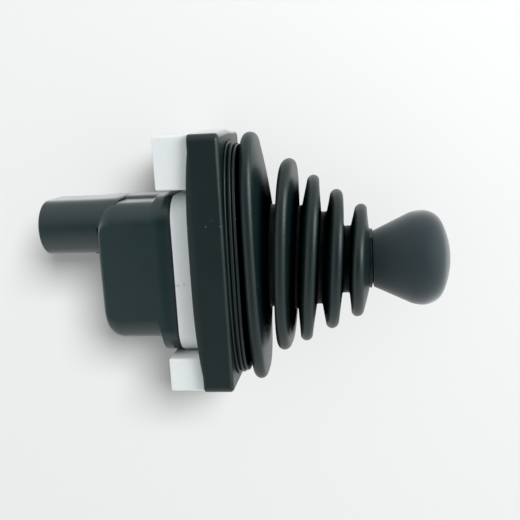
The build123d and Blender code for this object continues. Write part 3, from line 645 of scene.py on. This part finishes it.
def buildSpring(name, node):
    low, high = (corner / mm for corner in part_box(node))
    middle = (low.x + high.x) / 2
    wire = (high.x - low.x) / 2 - coil["radius"]
    piece = startLoop(name, coil["wireFaces"])
    last = coil["turns"] * coil["steps"]
    for number in range(last + 1):
        if number:
            bpy.ops.mesh.extrude_region_move()
        turn = 2 * pi * number / coil["steps"]
        height = low.z + wire + (high.z - low.z - 2 * wire) * number / last
        section = []
        for face in range(coil["wireFaces"]):
            around = 2 * pi * face / coil["wireFaces"]
            reach, rise = coil["radius"] + wire * cos(around), wire * sin(around)
            spot = Vector((middle + reach * cos(turn), reach * sin(turn), height + rise))
            section.append(spot * mm)
        placeLoop(piece, section)
    capEnds()
    closeUp(piece, coil["smooth"])
    piece.data.materials.append(springWire)
    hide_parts(node)
    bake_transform(piece)
    print(name, len(piece.data.polygons), "faces")


buildSpring("left_coil", "left_spring")
buildSpring("right_coil", "right_spring")


# Floor: the white sheet that the lever lies on, at the lowest side of the skirt, clear from below
floor = {"gap": 0.1, "size": 1600, "colour": "#7c7d7d"}


def buildFloor():
    bpy.ops.object.select_all(action="DESELECT")
    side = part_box("boot_skirt")[1].y + floor["gap"] * mm
    bpy.ops.mesh.primitive_plane_add(size=floor["size"] * mm)
    piece = bpy.context.object
    piece.name = "floor_sheet"
    upright = Matrix.Rotation(radians(90), 4, "X")
    piece.data.transform(Matrix.Translation((0, side, 0)) @ upright)
    material, tree, shader = newMaterial("white paper sheet")[:3]
    setInputs(tree, shader, {"Base Color": hexColour(floor["colour"]), "Roughness": 0.7})
    behind = addNode(tree, "ShaderNodeNewGeometry").outputs["Backfacing"]
    clear = addNode(tree, "ShaderNodeBsdfTransparent").outputs[0]
    seen = addNode(tree, "ShaderNodeMixShader", {0: behind, 1: shader.outputs[0], 2: clear})
    tree.links.new(seen.outputs[0], tree.nodes["Material Output"].inputs["Surface"])
    piece.data.materials.append(material)
    print("floor at y", round(side / mm, 2), "mm, normal", piece.data.polygons[0].normal[:])
    return piece


floorPiece = buildFloor()


# Shot: the camera above the sheet, a bright room with the key at the upper right, a window for
# the cover, lamps for the sheet alone and white cards beside the black mouldings
shot = {
    "place": (-47.1, -228.9, 38.5),             # height above the skirt
    "right": (0.0528, 0.1197, 0.9914),
    "up": (-0.9788, 0.2028, 0.0277),
    "back": (-0.1978, -0.9719, 0.1279),
    "lens": 47.08,
    "sensor": 36,
    "nearClip": 10,
    "roomColour": "#f8fbfb",
    # light of the room from overhead, where the photographer stands, to the horizon and below
    "room": [(0, 0.02), (0.02, 0.06), (0.045, 0.2), (0.08, 0.5), (0.3, 0.95), (1, 1.2)],
}
lamps = {                                       # way to the lamp along right, up and back
    "key": {"way": (0.75, 0.2, 0.63), "distance": 1600, "size": 800, "power": 16},
    "sheet lamp": {"way": (0, 0, 1), "distance": 4000, "size": 800, "power": 108},
    "sheet shade": {"way": (0.32, 0.26, 0.91), "distance": 4000, "size": 1600, "power": 565},
    "window": {"way": (-0.9, 0, 0.42), "distance": 1600, "size": 700, "power": 6},
}
cards = {                                       # each lights one moulding and the cover
    "shroud card": {
        "lights": "connector_shroud", "place": (-36, 20, -57), "size": (20, 60), "power": 0.0036},
    "skirt card": {
        "lights": "boot_skirt", "place": (-56, 20, -8), "size": (22, 36), "power": 0.005},
}
above = Vector((0, 0, skirtFront))
axes = [Vector(shot[name]).normalized() for name in ("right", "up", "back")]


def addLamp(name, spot, towards, size, power):
    data = bpy.data.lights.new(name, "AREA")
    data.shape = "RECTANGLE"
    data.size, data.size_y = (side * mm for side in size)
    data.energy = power
    lamp = bpy.data.objects.new(name, data)
    turn = towards.to_track_quat("Z", "Y").to_matrix().to_4x4()
    lamp.matrix_world = Matrix.Translation(spot * mm) @ turn
    bpy.context.scene.collection.objects.link(lamp)
    return lamp


def lightOnly(lamp, lit, blocking):
    for role, pieces in (("receiver", lit), ("blocker", blocking)):
        group = bpy.data.collections.new(lamp.name + " " + role)
        for piece in pieces:
            group.objects.link(piece)
        setattr(lamp.light_linking, role + "_collection", group)


def buildCamera():
    lensData = bpy.data.cameras.new("shot")
    lensData.lens = shot["lens"]
    lensData.sensor_width = shot["sensor"]
    lensData.clip_start = shot["nearClip"] * mm
    camera = bpy.data.objects.new("shot", lensData)
    turn = Matrix(axes).transposed().to_4x4()
    camera.matrix_world = Matrix.Translation((Vector(shot["place"]) + above) * mm) @ turn
    bpy.context.scene.collection.objects.link(camera)
    bpy.context.scene.camera = camera


def buildLamps():
    made = {}
    for name, lamp in lamps.items():
        way = sum((axis * share for axis, share in zip(axes, lamp["way"])), Vector()).normalized()
        size = (lamp["size"], lamp["size"])
        made[name] = addLamp(name, above + way * lamp["distance"], way, size, lamp["power"])
    body = [nodes[name] for name in ("mounting_body", "boot_skirt", "connector_shroud")]
    everything = [piece for piece in bpy.context.scene.objects if piece.type == "MESH"]
    lightOnly(made["key"], [piece for piece in everything if piece is not floorPiece], everything)
    lightOnly(made["window"], [coverPiece], everything)
    lightOnly(made["sheet lamp"], [floorPiece], [floorPiece])
    lightOnly(made["sheet shade"], [floorPiece], body + [coverPiece])
    for name, card in cards.items():
        spot, towards = Vector(card["place"]) + above, Vector((0, 1, 0))
        bounce = addLamp(name, spot, towards, card["size"], card["power"])
        bounce.visible_camera = False
        lightOnly(bounce, [nodes[card["lights"]], coverPiece], everything)


def buildRoom():
    room = bpy.data.worlds.new("room")
    room.use_nodes = True
    tree = room.node_tree
    way = addNode(tree, "ShaderNodeTexCoord").outputs["Generated"]
    overhead = addNode(tree, "ShaderNodeSeparateXYZ", {0: way}).outputs["Y"]
    low = addNode(tree, "ShaderNodeMath", {0: overhead, 1: 1}, operation="ADD")
    level = addNode(tree, "ShaderNodeFloatCurve", {"Value": low.outputs[0]})
    curve = level.mapping.curves[0]
    brightest = shot["room"][-1][1]
    curve.points[0].location = (0, shot["room"][0][1] / brightest)
    curve.points[1].location = (1, 1)
    for place, light in shot["room"][1:-1]:
        curve.points.new(place, light / brightest).handle_type = "VECTOR"
    level.mapping.update()
    strength = addNode(tree, "ShaderNodeMath", {
        0: level.outputs[0], 1: brightest}, operation="MULTIPLY")
    setInputs(tree, tree.nodes["Background"], {
        "Color": hexColour(shot["roomColour"]), "Strength": strength.outputs[0]})
    bpy.context.scene.world = room
    bpy.context.scene.view_settings.view_transform = "Standard"


buildCamera()
buildLamps()
buildRoom()
print("camera,", len(lamps), "lamps,", len(cards), "cards and the room are set")
